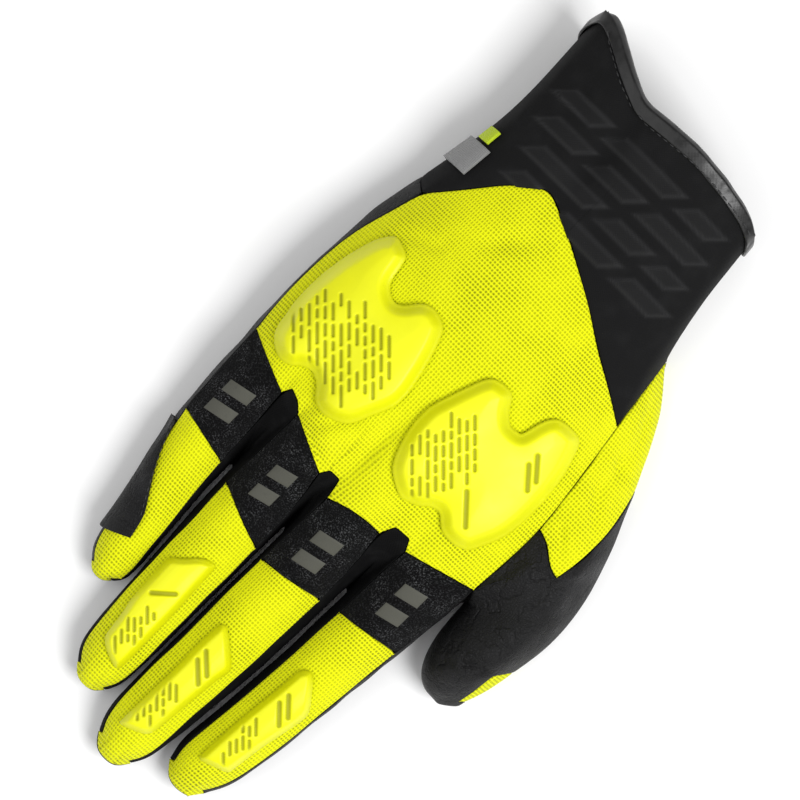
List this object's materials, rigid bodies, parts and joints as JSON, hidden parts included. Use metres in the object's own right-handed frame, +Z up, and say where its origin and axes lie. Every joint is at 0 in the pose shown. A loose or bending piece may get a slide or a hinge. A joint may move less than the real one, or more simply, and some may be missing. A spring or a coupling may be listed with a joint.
{
  "type": "motorcycle glove",
  "caption": "Right-hand riding glove with knit back, moulded knuckle and finger guards, dark palm and thumb, knuckle bands and a long stretch cuff",
  "frame": {"origin": "on the surface under the middle of the palm, where the glove rests", "axes": "+Y towards the fingertips, +X towards the little finger, +Z up out of the back of the hand"},
  "size_m": [0.1285, 0.2583, 0.0412],
  "materials": {
    "yellow_knit": "open knit, matte",
    "black_band": "fuzzy loop cloth, matte",
    "side_cloth": "matte",
    "black_leather": "satin",
    "neoprene": "matte",
    "binding": "semi-gloss",
    "yellow_mould": "satin",
    "gray_badge": "satin",
    "green_tab": "matte"
  },
  "bodies": {
    "root": {"back_panel": "yellow_knit", "band_index": "black_band", "band_middle": "black_band", "band_ring": "black_band", "band_pinky": "black_band", "back_index": "yellow_knit", "back_middle": "yellow_knit", "back_ring": "yellow_knit", "back_pinky": "yellow_knit", "fourchette_index_middle": "side_cloth", "fourchette_middle_ring": "side_cloth", "fourchette_ring_pinky": "side_cloth", "palm": "black_leather", "thumb_shell": "black_leather", "thumb_gusset": "yellow_knit", "thumb_tip_panel": "yellow_knit", "pinky_patch": "black_leather", "cuff": "neoprene", "cuff_binding": "binding", "knuckle_guard_index": "yellow_mould", "knuckle_guard_pinky": "yellow_mould", "guard_index": "yellow_mould", "guard_middle": "yellow_mould", "guard_ring": "yellow_mould", "cuff_badge": "gray_badge", "badge_tab": "green_tab"}
  },
  "joints": []
}
